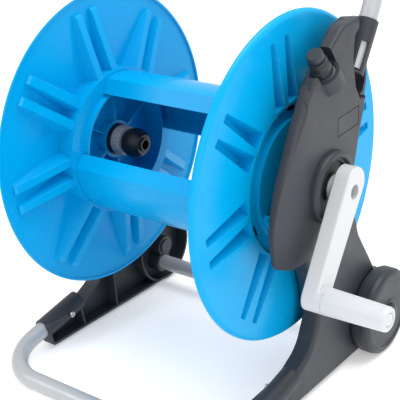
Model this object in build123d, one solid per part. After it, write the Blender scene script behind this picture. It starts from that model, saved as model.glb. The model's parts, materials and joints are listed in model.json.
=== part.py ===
from build123d import *
import math
import os

# Garden hose reel on a tubular stand, modelled as an assembly of separate pieces.
#
# All sizes are millimetres. Geometry is laid out with the drum axis on X through the
# origin, the front (base tube) towards -Y, the rear (wheels, handle) towards +Y and Z
# up. FRAME moves it so that the origin sits under the middle of the bounding box.

os.makedirs("parts", exist_ok=True)

# --- overall layout ---------------------------------------------------------------
AXIS_HEIGHT = 235.0          # drum axis above the ground
TUBE_R = 9.5                 # every stand tube is 19 mm
TUBE_WALL = 1.5
TUBE_X = 152.0               # side runs of both U tubes
FIT = 0.1                    # gap of a fixed push fit
RUN = 0.06                   # radial gap of a running fit

# --- drum -------------------------------------------------------------------------
FLANGE_R = 170.0
FLANGE_X = 127.0             # outer face of each flange
FLANGE_T = 2.6
LIP = 5.0                    # rolled rim, curls towards the drum
COLLAR_R = 83.0
COLLAR_DEPTH = 24.0          # collar end face, measured from the flange outer face
WELL_R = 62.0
RIB_R0, RIB_R1 = 80.0, 153.0
RIB_OFFSET = 12.0            # half the distance between the two ribs of a pair
RIB_PHASE = 100.1            # direction of one rib pair, degrees from +Y towards +Z
RIB_PAIRS = 8
PANEL_R = 80.0
PANEL_T = 3.0
PANEL_X = FLANGE_X - COLLAR_DEPTH - 0.1
HUB_R = 22.0
AXLE_R = 12.0
HUB_BORE = AXLE_R + FIT

# --- brackets ---------------------------------------------------------------------
INNER_X = 140.0              # open side of each bracket shell
LOW_X = 160.0                # outer face of the lower body
HIGH_X = 168.0               # outer face of the neck and the middle of the shield
SHELL = 3.0
CROWN_FLAT = 44.0            # flat middle of the domed shield
CROWN_R = 250.0              # radius of the dome beyond it
BUSH_R = 15.0
SLEEVE_R = 12.0

# --- tube lines, (y, z) -------------------------------------------------------------
HANDLE_MOUTH = (96.0, 145.0)
HANDLE_ANGLE = 58.0          # above horizontal, leaning to the rear
HANDLE_RISE = 106.0
HANDLE_BEND = 95.0
BASE_MOUTH = (-105.0, -210.5)
BASE_RUN = (-175.0, -AXIS_HEIGHT + TUBE_R)
BASE_BEND = 52.0
TUBE_INSERT = 52.0           # length of tube inside a bracket sleeve
CROSSBAR = (103.0, -206.0)

# --- wheels -------------------------------------------------------------------------
WHEEL = (108.0, -185.0)
WHEEL_R = 50.0
WHEEL_X0, WHEEL_X1 = 162.0, 184.0
PIN_R = 6.0

# --- crank --------------------------------------------------------------------------
CRANK_R = 109.0
CRANK_ANGLE = 238.2          # direction from the axis to the grip, from +Y to +Z
CRANK_X0, CRANK_X1 = 177.5, 195.0
CRANK_END = 8.0              # centre of the rounded end, beyond the axis
GRIP_X1 = 266.0
GRIP_R = 13.5

# --- connectors -----------------------------------------------------------------------
INLET_X1 = -214.0

BOX_X = (INLET_X1 + GRIP_X1) / 2
BOX_Y = (BASE_RUN[0] - TUBE_R + FLANGE_R) / 2
FRAME = Location((-BOX_X, -BOX_Y, AXIS_HEIGHT))


def save(name, shape):
    """Write one node in the part frame."""
    solids = shape.solids()
    body = solids[0] if len(solids) == 1 else Compound(children=list(solids))
    body = FRAME * body
    body.label = name
    export_step(body, "parts/" + name + ".step")
    return body


def disc(x0, x1, radius, centre=(0, 0)):
    """Solid cylinder along X between two x positions."""
    return extrude(Plane.YZ.offset(x0) * Pos(*centre) * Circle(radius), amount=x1 - x0)


def ring(x0, x1, outer, inner, centre=(0, 0)):
    """Hollow cylinder along X."""
    return disc(x0, x1, outer, centre) - disc(x0 - 1, x1 + 1, inner, centre)


def turned(*points):
    """Solid of revolution about X from (x, radius) points."""
    return revolve(make_face(Polyline(*points, close=True)), axis=Axis.X)


def outline(*corners):
    """Closed (y, z) outline from (y, z, corner radius) triples."""
    face = make_face(Polyline(*[(y, z) for y, z, _ in corners], close=True))
    for y, z, radius in corners:
        if radius:
            vertex = face.vertices().sort_by_distance((y, z, 0))[0]
            face = fillet(vertex, radius)
    return face


def slab(face, x0, x1):
    """Extrude a (y, z) outline between two x positions."""
    return extrude(Plane.YZ.offset(x0) * face, amount=x1 - x0)


def polar(radius, degrees):
    """Point on a circle in the (y, z) plane."""
    angle = math.radians(degrees)
    return (radius * math.cos(angle), radius * math.sin(angle))


def turn_x(shape, degrees):
    """Rotate about the drum axis, positive from +Y towards +Z."""
    return Rot(degrees, 0, 0) * shape


def mirrored(shape):
    """Left-hand copy of a right-hand piece."""
    return mirror(shape, about=Plane.YZ)


def rod(start, direction, length, radius, x, x_offset=0.0):
    """Cylinder starting at a (y, z) point and running in the side plane."""
    dy, dz = direction
    plane = Plane(origin=(x + x_offset, start[0], start[1]), x_dir=(1, 0, 0), z_dir=(0, dy, dz))
    return extrude(plane * Circle(radius), amount=length)


# --- flanges --------------------------------------------------------------------------
def collar_cover():
    """Plate that closes the collar's outer side, with six drain slots."""
    cover = ring(5, 5 + FLANGE_T, COLLAR_R - 1, WELL_R + 1)
    slot = Pos(6, (WELL_R + COLLAR_R) / 2 + 1, 0) * Box(8, 5, 16)
    return cover - [turn_x(slot, 28.5 + 60 * i) for i in range(6)]


def flange_shell():
    """Turned flange with its outer face at x = 0 and the drum towards +X."""
    lip_out = FLANGE_R - LIP
    collar_in = COLLAR_R - FLANGE_T
    floor = COLLAR_DEPTH - FLANGE_T
    edge = Line((LIP, FLANGE_R), (LIP, FLANGE_R - FLANGE_T))
    outer_arc = RadiusArc((0, lip_out), (LIP, FLANGE_R), LIP)
    inner_arc = RadiusArc((FLANGE_T, lip_out), (LIP, FLANGE_R - FLANGE_T), LIP - FLANGE_T)
    rest = Polyline(
        (0, lip_out), (0, collar_in), (floor, collar_in), (floor, WELL_R + FLANGE_T),
        (0, WELL_R + FLANGE_T), (0, HUB_BORE), (14, HUB_BORE), (14, HUB_R), (FLANGE_T, HUB_R),
        (FLANGE_T, WELL_R), (COLLAR_DEPTH + 6, WELL_R), (COLLAR_DEPTH + 6, WELL_R + FLANGE_T),
        (COLLAR_DEPTH, WELL_R + FLANGE_T), (COLLAR_DEPTH, COLLAR_R), (FLANGE_T, COLLAR_R),
        (FLANGE_T, lip_out))
    return revolve(make_face(Wire([edge, outer_arc, inner_arc, *rest.edges()])), axis=Axis.X)


def rib_top(radius):
    """Height of the sloping rib crest above the flange outer face."""
    return 21.0 - 0.19 * (radius - RIB_R0)


def rib_section(radius, base, top, inset):
    """Cross-section of the rib wedge, whose two sides are planes."""
    low = 4.4 + 0.36 * (rib_top(radius) - base) - 1.06 * inset
    high = 4.4 + 0.36 * (rib_top(radius) - top) - 1.06 * inset
    corners = [(base, -low), (base, low), (top, high), (top, -high)]
    return Plane(origin=(0, radius, 0), x_dir=(1, 0, 0), z_dir=(0, -1, 0)) * make_face(
        Polyline(*corners, close=True))


def rib_block(inset, base):
    """Wedge rib lying along +Y, widest and tallest at the collar."""
    start, end = RIB_R0 + inset, RIB_R1 - inset
    side = Polyline(
        (base, start), (base, end), (5.5 - inset, end), (rib_top(end - 3) - inset, end - 3),
        (rib_top(start) - inset, start), close=True)
    tall = extrude(make_face(side), amount=20, both=True)
    near = rib_section(RIB_R0 - 5, base, 22.0 - inset, inset)
    far = rib_section(RIB_R1 + 5, base, 14.0 - 2.1 * inset, inset)
    return tall & loft([near, far], ruled=True)


def flange():
    """Flange with eight pairs of hollow ribs, a central well and radial gussets."""
    body = flange_shell() + collar_cover()
    raised, hollow = [], []
    for pair in range(RIB_PAIRS):
        for side in (-1, 1):
            place = Rot(RIB_PHASE + pair * 360 / RIB_PAIRS, 0, 0) * Pos(0, 0, side * RIB_OFFSET)
            raised.append(place * rib_block(0, 1.0))
            hollow.append(place * rib_block(FLANGE_T, -1.0))
    gusset = Pos(8, (WELL_R + HUB_R) / 2, 0) * Box(12, WELL_R - HUB_R + 2, 2.4)
    raised += [turn_x(gusset, 30 + 60 * i) for i in range(6)]
    body = body + raised
    body = body - hollow
    return body


def place_flange(shape, side):
    """Put a flange built at x = 0 on the left (-1) or right (+1) end of the drum."""
    shape = Pos(-FLANGE_X, 0, 0) * shape
    return mirrored(shape) if side > 0 else shape


def latch_tab():
    """Small moulded clip on the outer face of the flange well."""
    tab = Box(6, 6, 15) - Box(7, 2.6, 10)
    return turn_x(Pos(FLANGE_X + 2.9, 60, 0) * tab, 208.5)


left_flange = place_flange(flange(), -1)
right_flange = place_flange(flange(), 1) + latch_tab()


# --- drum panels ------------------------------------------------------------------------
def drum_panel():
    """Curved panel with inward bevels along both free edges."""
    outer_arc = ThreePointArc(polar(PANEL_R, 6.5), polar(PANEL_R, 55.5), polar(PANEL_R, 104.5))
    inner = PANEL_R - PANEL_T
    inner_arc = ThreePointArc(polar(inner, 8.0), polar(inner, 55.5), polar(inner, 103.0))
    tip_a, tip_b = polar(67.0, -3.4), polar(68.0, 114.4)
    root_a, root_b = polar(65.0, -1.6), polar(66.0, 112.6)
    edges = [
        Line(tip_a, polar(PANEL_R, 6.5)), outer_arc, Line(polar(PANEL_R, 104.5), tip_b),
        Line(tip_b, root_b), Line(root_b, polar(inner, 103.0)), inner_arc,
        Line(polar(inner, 8.0), root_a), Line(root_a, tip_a)]
    return slab(make_face(Wire(edges)), -PANEL_X, PANEL_X)


upper_panel = drum_panel()
lower_panel = turn_x(upper_panel, 180)


# --- brackets -----------------------------------------------------------------------------
def unit(degrees):
    """Direction in the side plane."""
    return (math.cos(math.radians(degrees)), math.sin(math.radians(degrees)))


def step_along(point, direction, distance):
    """Point reached from another by walking in the side plane."""
    return (point[0] + direction[0] * distance, point[1] + direction[1] * distance)


HANDLE_DIR = unit(HANDLE_ANGLE)
BASE_DIR = unit(math.degrees(math.atan2(BASE_RUN[1] - BASE_MOUTH[1], BASE_RUN[0] - BASE_MOUTH[0])))
BASE_LENGTH = math.dist(BASE_MOUTH, BASE_RUN)


def body_outline():
    """Side outline of the lower bracket body with its round rear end."""
    leg = outline(
        (-111, -202, 4), (-105, -231, 6), (106, -230, 0), (118, -140, 0), (78, -82, 30),
        (60, -30, 60), (52, 40, 0), (-30, 40, 0), (-32, -70, 0), (-8, -112, 40),
        (-4, -146, 40), (-20, -181, 40), (-56, -199, 40))
    return leg + Pos(*WHEEL) * Circle(46)


def neck_outline():
    """Side outline of the raised upper plate, beside the exposed handle sleeve."""
    plate = outline(
        (-CROWN_FLAT, 97, 0), (-12, 133, 30), (20, 156, 26), (72, 159, 0), (70, 78, 0),
        (66, 64, 0), (58, 40, 30), (50, 10, 0), (44, 0, 0), (-CROWN_FLAT, 0, 0))
    return plate + Circle(CROWN_FLAT)


def back_outline():
    """Side outline of the box behind the raised plate, which carries the sleeve."""
    return outline(
        (-16, 96, 0), (40, 147, 20), (62, 154, 8), (94, 149, 4), (90, 124, 20),
        (83, 104, 15), (82, 84, 20), (73, 54, 30), (60, 14, 30), (58, -25, 0),
        (-16, -25, 0))


def shield_outline():
    """Round front lobe that covers the drum hub, with its curved lower edge."""
    return outline(
        (-37, 111, 0), (-60, 73, 80), (-86, 22, 130), (-96, -20, 80), (-88, -57, 12),
        (-66, -67, 25), (-42, -69, 25), (-4, -52, 0), (20, -38, 0), (20, 60, 0),
        (-38, 97, 0))


def crown_x(radius):
    """Height of the dome at a distance from the hub axis."""
    return HIGH_X - CROWN_R + math.sqrt(CROWN_R ** 2 - (radius - CROWN_FLAT) ** 2)


def crown():
    """Solid under the dome: turned below the hub, straight above it."""
    edge = 125.0
    middle = (CROWN_FLAT + edge) / 2
    arc = ThreePointArc((HIGH_X, CROWN_FLAT), (crown_x(middle), middle), (crown_x(edge), edge))
    rest = Polyline((crown_x(edge), edge), (140, edge), (140, 0), (HIGH_X, 0), (HIGH_X, CROWN_FLAT))
    profile = make_face(Wire([arc, *rest.edges()]))
    straight = extrude(mirror(profile, about=Plane.XZ), amount=edge, dir=(0, 0, 1))
    return revolve(profile, axis=Axis.X) + straight


def rounded_slab(face, x0, x1, radius, above=-1000.0):
    """Extruded outline whose outer face has a rounded edge above a given height."""
    body = slab(face, x0, x1)
    edges = body.faces().sort_by(Axis.X)[-1].edges()
    picked = [edge for edge in edges if edge.center().Z > above and edge.center().Y > -40]
    return fillet(picked, radius) if above > -1000 else fillet(edges, radius)


def bracket_shell():
    """Outer and inner envelopes of the open-backed right bracket moulding."""
    low, back = body_outline(), back_outline()
    neck, shield, dome = neck_outline(), shield_outline(), crown()
    outer = rounded_slab(low, INNER_X, LOW_X, 5)
    outer += slab(back, INNER_X, LOW_X)
    outer += rounded_slab(neck, LOW_X - 4, HIGH_X, 3, above=12)
    lobe = slab(shield, LOW_X - 3, HIGH_X)
    rim = lobe.faces().sort_by(Axis.X)[-1].edges()
    rim = [edge for edge in rim if edge.center().Y < -46 or edge.center().Z < -40]
    outer += fillet(rim, 8) & dome
    inner = slab(offset(low, -SHELL), INNER_X - 1, LOW_X - SHELL)
    inner += slab(offset(back, -SHELL), INNER_X - 1, LOW_X - SHELL)
    inner += slab(offset(neck, -SHELL), LOW_X - 5, HIGH_X - SHELL)
    inner += slab(offset(shield, -6), LOW_X - 4, HIGH_X) & (Pos(-SHELL, 0, 0) * dome)
    return outer, inner


def sleeve_zone():
    """Recess that leaves the handle sleeve standing free, and the pocket below it."""
    zone = outline(
        (50, 170, 0), (110, 170, 0), (110, 138, 0), (94, 132, 0), (85, 118, 0), (80, 103, 0),
        (79, 88, 0), (75, 78, 0), (66, 74, 0), (55, 76, 0), (46, 90, 0), (40, 118, 0),
        (42, 143, 0), (50, 148, 0))
    pocket = outline((51, 103, 0), (79, 87, 0), (75, 79, 0), (66, 75, 0), (56, 77, 0), (48, 90, 0))
    return zone, pocket


def tube_bore(mouth, direction, length):
    """Bore that takes a tube, starting outside the sleeve mouth."""
    start = step_along(mouth, direction, 12)
    back = (-direction[0], -direction[1])
    return rod(start, back, length + 12, TUBE_R + FIT, TUBE_X)


def screw_hole(mouth, direction, depth, radius, x0, x1):
    """Cylinder along X through a sleeve, some way below its mouth."""
    centre = step_along(mouth, direction, -depth)
    return disc(x0, x1, radius, centre)


def bracket_ribs(outer):
    """Webs and bosses on the open side of the bracket, trimmed to its outline."""
    webs = ring(INNER_X + 1, LOW_X - 1, 48, 45.4, WHEEL)
    for y0, z0, y1, z1 in ((-58, -180, -48, -232), (2, -110, 10, -232), (0, 0, 84, -134),
                           (0, 0, -20, -120), (0, 0, 60, 60), (0, 0, -30, 110)):
        length = math.dist((y0, z0), (y1, z1))
        angle = math.degrees(math.atan2(z1 - z0, y1 - y0))
        web = Rot(angle, 0, 0) * Box(LOW_X - INNER_X - 2, length, 2.4)
        webs += Pos((LOW_X + INNER_X) / 2, (y0 + y1) / 2, (z0 + z1) / 2) * web
    webs += disc(INNER_X + 1, LOW_X - 1, 13, WHEEL)
    webs += disc(INNER_X + 1, LOW_X - 1, 13, CROSSBAR)
    return webs & outer


def sleeve_window():
    """Long window in the front of the handle sleeve that shows the tube."""
    start = step_along(HANDLE_MOUTH, HANDLE_DIR, -24)
    front = math.radians(40)
    out = (math.cos(front), -HANDLE_DIR[1] * math.sin(front), HANDLE_DIR[0] * math.sin(front))
    plane = Plane(origin=(TUBE_X, *start), x_dir=out, z_dir=(0, -HANDLE_DIR[0], -HANDLE_DIR[1]))
    return plane * Pos(12.5, 0, 15) * Box(9, 8, 30)


def bracket(with_post):
    """Complete right-hand bracket moulding."""
    outer, inner = bracket_shell()
    zone, pocket = sleeve_zone()
    outer -= slab(zone, TUBE_X, HIGH_X + 1)
    inner -= slab(offset(zone, SHELL), TUBE_X - SHELL, HIGH_X)
    handle_sleeve = rod(HANDLE_MOUTH, (-HANDLE_DIR[0], -HANDLE_DIR[1]), 57, SLEEVE_R, TUBE_X)
    base_sleeve = rod(step_along(BASE_MOUTH, BASE_DIR, 2), (-BASE_DIR[0], -BASE_DIR[1]), 60,
                      SLEEVE_R, TUBE_X)
    body = outer - inner + bracket_ribs(outer)
    body += handle_sleeve + base_sleeve + disc(INNER_X - 2, HIGH_X, 26)
    body -= tube_bore(HANDLE_MOUTH, HANDLE_DIR, TUBE_INSERT + 3)
    body -= tube_bore(BASE_MOUTH, BASE_DIR, TUBE_INSERT + 3)
    body -= slab(pocket, TUBE_X - 8, HIGH_X + 1)
    body -= sleeve_window()
    body -= disc(INNER_X - 4, HIGH_X + 1, BUSH_R)
    body -= disc(INNER_X - 1, LOW_X + 1, PIN_R + FIT, WHEEL)
    body -= disc(INNER_X - 1, LOW_X - SHELL, TUBE_R + FIT, CROSSBAR)
    body -= screw_hole(HANDLE_MOUTH, HANDLE_DIR, 40, 1.6, INNER_X - 4, TUBE_X)
    body -= screw_hole(BASE_MOUTH, BASE_DIR, 34, 1.6, INNER_X - 4, TUBE_X)
    if with_post:
        body += post_rod(-14, 46, 20) & outer
        body += post_rod(-14, 3, 16.5)
        body -= post_rod(3, 50, 17)
        body -= post_rod(0, 4, 13)
        body -= post_rod(-9, 1, 6 + FIT)
        frame = outline((12, 47, 1), (12, 67, 1), (54, 70, 1), (54, 50, 1))
        body -= slab(frame - offset(frame, -1.2), HIGH_X - 0.6, HIGH_X + 1)
    return max(body.solids(), key=lambda solid: solid.volume)


# --- connector post -------------------------------------------------------------------------
POST_X = 161.0
POST_BASE = (-4.0, 113.5)
POST_DIR = unit(127)


def post_rod(start, end, radius):
    """Cylinder on the axis of the connector post, measured from its seat."""
    return rod(step_along(POST_BASE, POST_DIR, start), POST_DIR, end - start, radius, POST_X)


def post_turned(*points):
    """Turned piece on the post axis from (height, radius) points."""
    local = make_face(Polyline(*[(radius, height) for height, radius in points], close=True))
    plane = Plane(origin=(POST_X, *POST_BASE), x_dir=(1, 0, 0), z_dir=(0, *POST_DIR))
    return plane * revolve(Plane.XZ * local, axis=Axis.Z)


connector_post = post_turned(
    (-8.5, 0), (-8.5, 6), (0, 6), (0, 12.5), (2.5, 12.5), (3.5, 10.5), (10, 10.5), (11, 9),
    (16, 9), (16, 7), (18.6, 7), (18.6, 9), (21, 9), (21, 7), (24, 7), (24.5, 8.3),
    (28.5, 8.3), (29.5, 7.3), (29.5, 0))
post_oring = post_turned((16.1, 7.1), (18.5, 7.1), (18.5, 9.3), (18, 9.6), (16.6, 9.6), (16.1, 9.3))

right_bracket = bracket(with_post=True)
left_bracket = mirrored(bracket(with_post=False))
right_bezel = turned((HIGH_X, 27), (HIGH_X, 37.5), (171.5, 37), (174, 35.5), (175, 33.5),
                     (175, 31.5), (174, 30.5), (171, 30), (171, 27))
left_bezel = mirrored(right_bezel)
right_bush = ring(INNER_X - 2, HIGH_X + 1, BUSH_R - FIT, AXLE_R + RUN)
right_bush += ring(INNER_X - 5, INNER_X - 2, 19, AXLE_R + RUN)
left_bush = mirrored(right_bush)


# --- stand tubes ----------------------------------------------------------------------------
def u_tube(mouth, direction, reach, bend):
    """Tube with two parallel legs joined by a cross run, both ends inside the sleeves."""
    start = step_along(mouth, direction, -TUBE_INSERT)
    plane = Plane(origin=(0, *start), x_dir=(1, 0, 0), z_dir=(0, -direction[1], direction[0]))
    length = reach + TUBE_INSERT
    corners = [(-TUBE_X, 0), (-TUBE_X, length), (TUBE_X, length), (TUBE_X, 0)]
    path = plane * FilletPolyline(*corners, radius=bend)
    section = Plane(origin=path @ 0, z_dir=path % 0)
    solid = sweep(section * Circle(TUBE_R), path=path)
    return solid - sweep(section * Circle(TUBE_R - TUBE_WALL), path=path)


def tube_screw(mouth, direction, depth):
    """Self-tapping screw that locks a tube in its sleeve, head towards the drum."""
    centre = step_along(mouth, direction, -depth)
    head = fillet(disc(INNER_X - 3.4, INNER_X - 0.9, 3.4, centre).edges(), 0.6)
    slot = Pos(INNER_X - 3.4, *centre) * (Box(2, 4, 0.9) + Box(2, 0.9, 4))
    return head + disc(INNER_X - 1, TUBE_X - 4, 1.4, centre) - slot


handle_tube = u_tube(HANDLE_MOUTH, HANDLE_DIR, HANDLE_RISE, HANDLE_BEND)
base_tube = u_tube(BASE_MOUTH, BASE_DIR, BASE_LENGTH, BASE_BEND)
for sign in (-1, 1):
    x0, x1 = sorted((sign * (TUBE_X - 12), sign * (TUBE_X - 3)))
    handle_tube -= screw_hole(HANDLE_MOUTH, HANDLE_DIR, 40, 1.6, x0, x1)
    base_tube -= screw_hole(BASE_MOUTH, BASE_DIR, 34, 1.6, x0, x1)
crossbar_end = LOW_X - SHELL - 0.2
crossbar = ring(-crossbar_end, crossbar_end, TUBE_R, TUBE_R - TUBE_WALL, CROSSBAR)
right_handle_screw = tube_screw(HANDLE_MOUTH, HANDLE_DIR, 40)
right_base_screw = tube_screw(BASE_MOUTH, BASE_DIR, 34)

# --- wheels ---------------------------------------------------------------------------------
def wheel():
    """Right wheel about X: rounded tread, ribbed inside, shallow dish outside."""
    rim_in = WHEEL_R - 4
    body = turned(
        (WHEEL_X0, rim_in - 1), (WHEEL_X0, WHEEL_R - 2), (WHEEL_X0 + 3, WHEEL_R - 2),
        (WHEEL_X0 + 4, WHEEL_R),
        (WHEEL_X1 - 7, WHEEL_R), (WHEEL_X1 - 3, WHEEL_R - 1.2), (WHEEL_X1 - 0.8, WHEEL_R - 4),
        (WHEEL_X1, WHEEL_R - 8), (WHEEL_X1, WHEEL_R - 9), (WHEEL_X1 - 1.5, WHEEL_R - 11),
        (WHEEL_X1 - 1.5, 16),
        (WHEEL_X1, 14), (WHEEL_X1, PIN_R + RUN), (WHEEL_X0 + 0.4, PIN_R + RUN),
        (WHEEL_X0 + 0.4, 12), (WHEEL_X1 - 5, 12), (WHEEL_X1 - 5, rim_in - 1))
    spoke = Pos((WHEEL_X0 + WHEEL_X1) / 2 - 1, (9 + rim_in) / 2, 0) * Box(16, rim_in - 9, 2.4)
    body += [turn_x(spoke, 60 * i) for i in range(6)]
    return Pos(0, *WHEEL) * body


right_wheel = wheel()
right_wheel_pin = Pos(0, *WHEEL) * turned(
    (INNER_X - 1, 0), (INNER_X - 1, 9), (INNER_X + 1, 9), (INNER_X + 1, PIN_R),
    (WHEEL_X1 + 3, PIN_R), (WHEEL_X1 + 4, PIN_R - 1), (WHEEL_X1 + 4, 0))
right_wheel_cap = Pos(0, *WHEEL) * turned(
    (WHEEL_X1 + 0.4, PIN_R + FIT), (WHEEL_X1 + 0.4, 11), (WHEEL_X1 + 2.4, 11),
    (WHEEL_X1 + 4.4, 9), (WHEEL_X1 + 5.4, 5), (WHEEL_X1 + 5.4, 0), (WHEEL_X1 + 4.1, 0),
    (WHEEL_X1 + 4.1, PIN_R + FIT))

# --- crank ------------------------------------------------------------------------------------
GRIP_AT = polar(CRANK_R, CRANK_ANGLE)


def crank():
    """Flat tapered arm with a hub socket and a shoulder for the turning grip."""
    hub_end, tip_r = 17.0, 13.9
    side = polar(1, CRANK_ANGLE + 90)
    corners = []
    for along, across in ((-CRANK_END, hub_end), (CRANK_R, tip_r), (CRANK_R, -tip_r),
                          (-CRANK_END, -hub_end)):
        base = polar(along, CRANK_ANGLE)
        corners.append(step_along(base, side, across))
    plan = make_face(Polyline(*corners, close=True)) + Pos(*polar(-CRANK_END, CRANK_ANGLE)) * Circle(
        hub_end)
    plan += Pos(*GRIP_AT) * Circle(tip_r)
    arm = slab(plan, CRANK_X0, CRANK_X1)
    arm = fillet(arm.faces().sort_by(Axis.X)[-1].edges(), 3)
    arm = fillet(arm.faces().sort_by(Axis.X)[0].edges(), 1.5)
    arm += disc(171, CRANK_X0, 13) + disc(CRANK_X1 - 3.5, CRANK_X1 + 4, tip_r, GRIP_AT)
    arm -= disc(CRANK_X0 + 3.5, CRANK_X1 + 1, 7.5)
    arm -= disc(CRANK_X0 + 1, CRANK_X1, 2.3)
    arm -= Pos(175, 0, 0) * turn_x(Box(10, 10.2, 10.2), CRANK_ANGLE)
    arm -= disc(CRANK_X0 + 5, CRANK_X1 + 5, 5 + FIT, GRIP_AT)
    return arm


crank_arm = crank()
crank_screw = disc(CRANK_X0 + 3.6, CRANK_X0 + 6.2, 5) + disc(172, CRANK_X0 + 3.6, 2)
crank_screw -= Pos(CRANK_X0 + 6.2, 0, 0) * (Box(2.4, 6, 1.1) + Box(2.4, 1.1, 6))
crank_spindle = Pos(0, *GRIP_AT) * turned(
    (CRANK_X0 + 5.2, 0), (CRANK_X0 + 5.2, 5), (GRIP_X1 - 3.4, 5), (GRIP_X1 - 3.4, 6.6),
    (GRIP_X1 - 1.2, 6.6), (GRIP_X1 - 0.6, 6), (GRIP_X1 - 0.6, 2), (GRIP_X1 - 1.6, 1.2),
    (GRIP_X1 - 1.6, 0))
grip_sleeve = Pos(0, *GRIP_AT) * turned(
    (CRANK_X1 + 4.2, 5 + RUN), (CRANK_X1 + 4.2, GRIP_R + 0.4),
    (GRIP_X1 - 3, GRIP_R - 1.2), (GRIP_X1 - 0.8, GRIP_R - 1.9), (GRIP_X1, GRIP_R - 3.2),
    (GRIP_X1, 8.6), (GRIP_X1 - 0.8, 8.2), (GRIP_X1 - 0.8, 7), (GRIP_X1 - 3.7, 7),
    (GRIP_X1 - 3.7, 5 + RUN))

# --- drum axles and water connectors --------------------------------------------------------------
right_axle = disc(FLANGE_X - 20, HIGH_X + 0.5, AXLE_R)
right_axle += Pos(173.5, 0, 0) * turn_x(Box(12, 10, 10), CRANK_ANGLE)
right_axle -= disc(171, 185, 2)
left_axle = ring(-HIGH_X + 1, -FLANGE_X + 18, AXLE_R, 6)
outlet_collar = ring(-FLANGE_X + 14.1, -FLANGE_X + 17.8, 18, AXLE_R + FIT)
NOSE_X0 = -FLANGE_X + 18.1
outlet_nose = disc(NOSE_X0, -88, 8.5) + (Pos(-85, 0, 0) * Sphere(16.8) & disc(-96.6, -72.4, 18))
outlet_nose += disc(-80, -70.4, 7.8)
outlet_nose -= disc(NOSE_X0 - 1, -70, 5.5)


def knurled_nut(x0, x1, radius, bore, teeth):
    """Round nut with straight finger ribs."""
    body = ring(x0, x1, radius, bore)
    tooth = Pos((x0 + x1) / 2, radius, 0) * Box((x1 - x0) * 0.8, 1.6, 1.8)
    body += [turn_x(tooth, i * 360 / teeth) for i in range(teeth)]
    return body


outlet_nut = knurled_nut(NOSE_X0 + 0.3, -96.9, 16.2, 8.5 + FIT, 24)
inlet_body = turned(
    (-150, 3.5), (-150, 6 - RUN), (-169.6, 6 - RUN), (-169.6, 26.8), (-174, 26.8),
    (-176, 24), (-176, 13), (-181, 13), (-182, 10), (-196, 10), (-196, 8.2), (-199, 8.2),
    (-199, 10), (-202, 10), (-204, 7.4), (INLET_X1 + 1, 7.4), (INLET_X1, 6.4), (INLET_X1, 3.5))
inlet_nut = knurled_nut(-195.4, -182.6, 16.2, 10 + FIT, 24)

NODES = {
    "left_bracket": left_bracket,
    "right_bracket": right_bracket,
    "left_bezel": left_bezel,
    "right_bezel": right_bezel,
    "left_bush": left_bush,
    "right_bush": right_bush,
    "base_tube": base_tube,
    "handle_tube": handle_tube,
    "crossbar": crossbar,
    "left_handle_screw": mirrored(right_handle_screw),
    "right_handle_screw": right_handle_screw,
    "left_base_screw": mirrored(right_base_screw),
    "right_base_screw": right_base_screw,
    "left_wheel_pin": mirrored(right_wheel_pin),
    "right_wheel_pin": right_wheel_pin,
    "left_wheel_cap": mirrored(right_wheel_cap),
    "right_wheel_cap": right_wheel_cap,
    "connector_post": connector_post,
    "post_oring": post_oring,
    "inlet_body": inlet_body,
    "inlet_nut": inlet_nut,
    "left_wheel": mirrored(right_wheel),
    "right_wheel": right_wheel,
    "left_flange": left_flange,
    "right_flange": right_flange,
    "upper_panel": upper_panel,
    "lower_panel": lower_panel,
    "left_axle": left_axle,
    "right_axle": right_axle,
    "outlet_collar": outlet_collar,
    "outlet_nut": outlet_nut,
    "outlet_nose": outlet_nose,
    "crank_arm": crank_arm,
    "crank_screw": crank_screw,
    "crank_spindle": crank_spindle,
    "grip_sleeve": grip_sleeve,
}

for node_name, node_shape in NODES.items():
    save(node_name, node_shape)
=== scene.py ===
import json
import math

import bpy
from mathutils import Matrix, Vector

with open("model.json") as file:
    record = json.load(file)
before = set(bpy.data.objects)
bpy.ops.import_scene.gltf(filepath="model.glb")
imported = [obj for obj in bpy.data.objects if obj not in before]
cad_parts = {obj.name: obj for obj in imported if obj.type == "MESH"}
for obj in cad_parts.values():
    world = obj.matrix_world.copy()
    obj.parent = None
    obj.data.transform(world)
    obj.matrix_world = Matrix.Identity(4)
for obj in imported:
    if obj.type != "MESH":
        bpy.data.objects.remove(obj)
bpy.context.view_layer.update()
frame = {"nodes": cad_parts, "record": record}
nodes = frame["nodes"]

# The camera stands in front, towards the crank side. Lengths are in metres and angles in degrees.
CAMERA_AIM = Vector((-0.0131, -0.0039, 0.1904))
CAMERA_DISTANCE = 1.078
CAMERA_AZIMUTH = 38.05
CAMERA_ELEVATION = 22.32
CAMERA_ROLL = -2.20
CAMERA_LENS = 89.65
CAMERA_SENSOR = 36.0
CAMERA_NEAR = 0.05

FLOOR_HALF_SIDE = 6.0
FLOOR_GLOW = 0.30
SKY_STRENGTH = 0.88

# Name, place, point aimed at, sides of the rectangle, watts.
LIGHTS = (
    ("Top", (0.5, 0.3, 2.3), (0, 0, 0.2), (1.6, 1.6), 38),
    ("Key", (-1.2, -1.5, 1.3), (0, 0, 0.25), (0.8, 1.2), 11),
    ("Fill", (1.9, -0.9, 0.8), (0, 0, 0.25), (1.2, 1.2), 12),
)

BEVEL_SAMPLES = 6
MOULDED_EDGE = 0.0006
FINE_EDGE = 0.0003

# Base colours, linear RGB.
LINEAR = {
    "blue": (0.000, 0.320, 0.655),
    "charcoal": (0.025, 0.029, 0.036),
    "black": (0.010, 0.010, 0.011),
    "light grey": (0.420, 0.430, 0.440),
    "white": (0.540, 0.550, 0.565),
    "tube": (0.400, 0.415, 0.425),
    "steel": (0.560, 0.560, 0.570),
    "rubber": (0.012, 0.012, 0.012),
}


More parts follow.
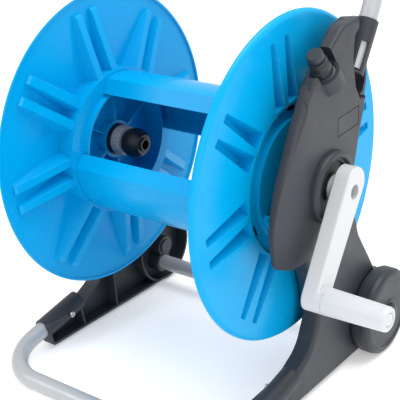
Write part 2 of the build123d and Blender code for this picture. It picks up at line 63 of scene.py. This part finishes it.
class Shader:
    """A Principled material with short helpers for adding nodes."""

    def __init__(self, name):
        self.material = bpy.data.materials.new(name)
        self.material.use_nodes = True
        self.tree = self.material.node_tree
        self.tree.nodes.clear()
        self.output = self.node("ShaderNodeOutputMaterial")
        self.body = self.node("ShaderNodeBsdfPrincipled")
        self.link(self.body.outputs["BSDF"], self.output.inputs["Surface"])
        self.place = self.node("ShaderNodeTexCoord").outputs["Object"]

    def node(self, kind, **settings):
        made = self.tree.nodes.new(kind)
        for key, value in settings.items():
            setattr(made, key, value)
        return made

    def link(self, source, target):
        self.tree.links.new(source, target)

    def noise(self, scale, detail=2.0, roughness=0.5):
        made = self.node("ShaderNodeTexNoise")
        made.inputs["Scale"].default_value = scale
        made.inputs["Detail"].default_value = detail
        made.inputs["Roughness"].default_value = roughness
        self.link(self.place, made.inputs["Vector"])
        return made.outputs["Fac"]

    def stretch(self, source, low, high, new_low, new_high):
        made = self.node("ShaderNodeMapRange")
        made.inputs["From Min"].default_value = low
        made.inputs["From Max"].default_value = high
        made.inputs["To Min"].default_value = new_low
        made.inputs["To Max"].default_value = new_high
        self.link(source, made.inputs["Value"])
        return made.outputs["Result"]

    def mix(self, factor, first, second):
        made = self.node("ShaderNodeMix", data_type="RGBA")
        self.link(factor, made.inputs["Factor"])
        for socket, colour in ((made.inputs["A"], first), (made.inputs["B"], second)):
            if isinstance(colour, tuple):
                socket.default_value = (*colour, 1.0)
            else:
                self.link(colour, socket)
        return made.outputs["Result"]

    def edge_normal(self, radius):
        made = self.node("ShaderNodeBevel", samples=BEVEL_SAMPLES)
        made.inputs["Radius"].default_value = radius
        return made.outputs["Normal"]

    def edge_mask(self, radius, gain):
        """1 on convex and concave edges, 0 on open surface. A higher gain shows fainter edges."""
        geometry = self.node("ShaderNodeNewGeometry")
        dot = self.node("ShaderNodeVectorMath", operation="DOT_PRODUCT")
        self.link(self.edge_normal(radius), dot.inputs[0])
        self.link(geometry.outputs["Normal"], dot.inputs[1])
        return self.stretch(dot.outputs["Value"], 1.0 - 1.0 / gain, 1.0, 1.0, 0.0)

    def bump(self, height, distance, strength, normal=None):
        made = self.node("ShaderNodeBump")
        made.inputs["Distance"].default_value = distance
        made.inputs["Strength"].default_value = strength
        self.link(height, made.inputs["Height"])
        if normal is not None:
            self.link(normal, made.inputs["Normal"])
        return made.outputs["Normal"]

    def set(self, **values):
        for key, value in values.items():
            socket = self.body.inputs[key.replace("_", " ")]
            if isinstance(value, bpy.types.NodeSocket):
                self.link(value, socket)
            elif isinstance(value, tuple):
                socket.default_value = (*value, 1.0)
            else:
                socket.default_value = value


def scaled(colour, factor):
    return tuple(min(1.0, part * factor) for part in colour)


def moulded(name, colour, roughness, grain, depth, edge_sheen, specular=0.5):
    """Injection-moulded plastic: faint flow marks, surface grain and a painted sheen on the edges.

    Grain is the scale of the surface texture and depth its strength. The argument after depth sets
    how far the edges pale, from 0 to 1, as a painted highlight.
    """
    shader = Shader(name)
    flow = shader.stretch(shader.noise(9, 3), 0.3, 0.7, 0.0, 1.0)
    base = shader.mix(flow, scaled(colour, 0.98), scaled(colour, 1.02))
    # Painted sheen: convex and concave edges are paled towards a lighter colour as a painted
    # highlight.
    edge_sheen_mask = shader.edge_mask(MOULDED_EDGE, 6)
    base = shader.mix(shader.stretch(edge_sheen_mask, 0, 1, 0, edge_sheen), base, scaled(colour, 1.6))
    smear = shader.stretch(shader.noise(42, 4, 0.6), 0.3, 0.7, roughness - 0.05, roughness + 0.06)
    rounded = shader.edge_normal(MOULDED_EDGE)
    fine = shader.bump(shader.noise(grain, 2, 0.6), 0.0002, depth, rounded)
    shader.set(Base_Color=base, Roughness=smear, Normal=fine, Specular_IOR_Level=specular)
    return shader


blue = moulded("BluePlastic", LINEAR["blue"], 0.24, 260, 0.08, 0.10, specular=0.15)
charcoal = moulded("CharcoalPlastic", LINEAR["charcoal"], 0.42, 2200, 0.45, 0.35, specular=0.35)
black = moulded("BlackPlastic", LINEAR["black"], 0.40, 1800, 0.35, 0.25)
light_grey = moulded("LightGreyPlastic", LINEAR["light grey"], 0.42, 1500, 0.25, 0.15)
white = moulded("WhitePlastic", LINEAR["white"], 0.34, 300, 0.08, 0.0)


def enamel(name, colour):
    """Powder coat on steel tube: orange peel and faint metallic flecks."""
    shader = Shader(name)
    fleck = shader.stretch(shader.noise(2600, 1), 0.45, 0.62, 0.0, 1.0)
    base = shader.mix(fleck, scaled(colour, 0.94), scaled(colour, 1.08))
    peel = shader.bump(shader.noise(520, 3), 0.0002, 0.22, shader.edge_normal(FINE_EDGE))
    roughness = shader.stretch(shader.noise(60, 3), 0.3, 0.7, 0.30, 0.42)
    shader.set(Base_Color=base, Roughness=roughness, Normal=peel, Metallic=0.25)
    return shader


def plated(name, colour):
    """Zinc-plated steel with fine turning marks."""
    shader = Shader(name)
    cloud = shader.stretch(shader.noise(300, 4), 0.3, 0.7, 0.0, 1.0)
    base = shader.mix(cloud, scaled(colour, 0.85), scaled(colour, 1.1))
    marks = shader.bump(shader.noise(1800, 2), 0.0001, 0.25, shader.edge_normal(FINE_EDGE))
    shader.set(Base_Color=base, Roughness=0.33, Normal=marks, Metallic=1.0)
    return shader


def seal(name, colour):
    """Matt black rubber with a dusty bloom."""
    shader = Shader(name)
    bloom = shader.stretch(shader.noise(700, 4), 0.4, 0.7, 0.0, 1.0)
    base = shader.mix(bloom, colour, scaled(colour, 2.2))
    shader.set(Base_Color=base, Roughness=0.7, Normal=shader.edge_normal(FINE_EDGE))
    return shader


MATERIALS = {
    "blue_moulding": blue,
    "grey_moulding": charcoal,
    "black_moulding": black,
    "light_grey_moulding": light_grey,
    "white_moulding": white,
    "tube_paint": enamel("TubePaint", LINEAR["tube"]),
    "zinc_steel": plated("ZincSteel", LINEAR["steel"]),
    "seal_rubber": seal("SealRubber", LINEAR["rubber"]),
}

for entry in frame["record"]["subparts"]:
    piece = nodes[entry["node"]]
    for slot in piece.material_slots:
        slot.material = MATERIALS[entry["material_slot"]].material


def pale_floor():
    mesh = bpy.data.meshes.new("Floor")
    half = FLOOR_HALF_SIDE
    corners = [(-half, -half, 0), (half, -half, 0), (half, half, 0), (-half, half, 0)]
    mesh.from_pydata(corners, [], [(0, 1, 2, 3)])
    floor = bpy.data.objects.new("Floor", mesh)
    bpy.context.scene.collection.objects.link(floor)
    shader = Shader("FloorWhite")
    cloud = shader.noise(3, 2)
    shader.set(Base_Color=shader.mix(cloud, (0.84, 0.84, 0.84), (0.86, 0.86, 0.86)), Roughness=0.9)
    shader.set(Emission_Color=(1.0, 1.0, 1.0), Emission_Strength=FLOOR_GLOW)
    mesh.materials.append(shader.material)


def area_light(name, place, aim, size, power):
    light = bpy.data.lights.new(name, "AREA")
    light.shape = "RECTANGLE"
    light.size, light.size_y = size
    light.energy = power
    lamp = bpy.data.objects.new(name, light)
    bpy.context.scene.collection.objects.link(lamp)
    direction = Vector(aim) - Vector(place)
    lamp.rotation_euler = direction.to_track_quat("-Z", "Y").to_euler()
    lamp.location = place


def studio():
    world = bpy.data.worlds.new("Studio")
    world.use_nodes = True
    background = world.node_tree.nodes["Background"]
    background.inputs["Color"].default_value = (1.0, 1.0, 1.0, 1.0)
    background.inputs["Strength"].default_value = SKY_STRENGTH
    bpy.context.scene.world = world
    for name, place, aim, size, power in LIGHTS:
        area_light(name, place, aim, size, power)


def camera():
    azimuth, elevation = math.radians(CAMERA_AZIMUTH), math.radians(CAMERA_ELEVATION)
    away = Vector((math.sin(azimuth) * math.cos(elevation),
                   -math.cos(azimuth) * math.cos(elevation),
                   math.sin(elevation)))
    lens = bpy.data.cameras.new("Camera")
    lens.lens = CAMERA_LENS
    lens.sensor_width = CAMERA_SENSOR
    lens.clip_start = CAMERA_NEAR
    view = bpy.data.objects.new("Camera", lens)
    bpy.context.scene.collection.objects.link(view)
    turn = away.to_track_quat("Z", "Y").to_matrix().to_4x4()
    roll = Matrix.Rotation(math.radians(CAMERA_ROLL), 4, "Z")
    view.matrix_world = Matrix.Translation(CAMERA_AIM + away * CAMERA_DISTANCE) @ turn @ roll
    bpy.context.scene.camera = view


pale_floor()
studio()
camera()
bpy.context.scene.view_settings.view_transform = "Standard"
bpy.context.scene.view_settings.look = "None"
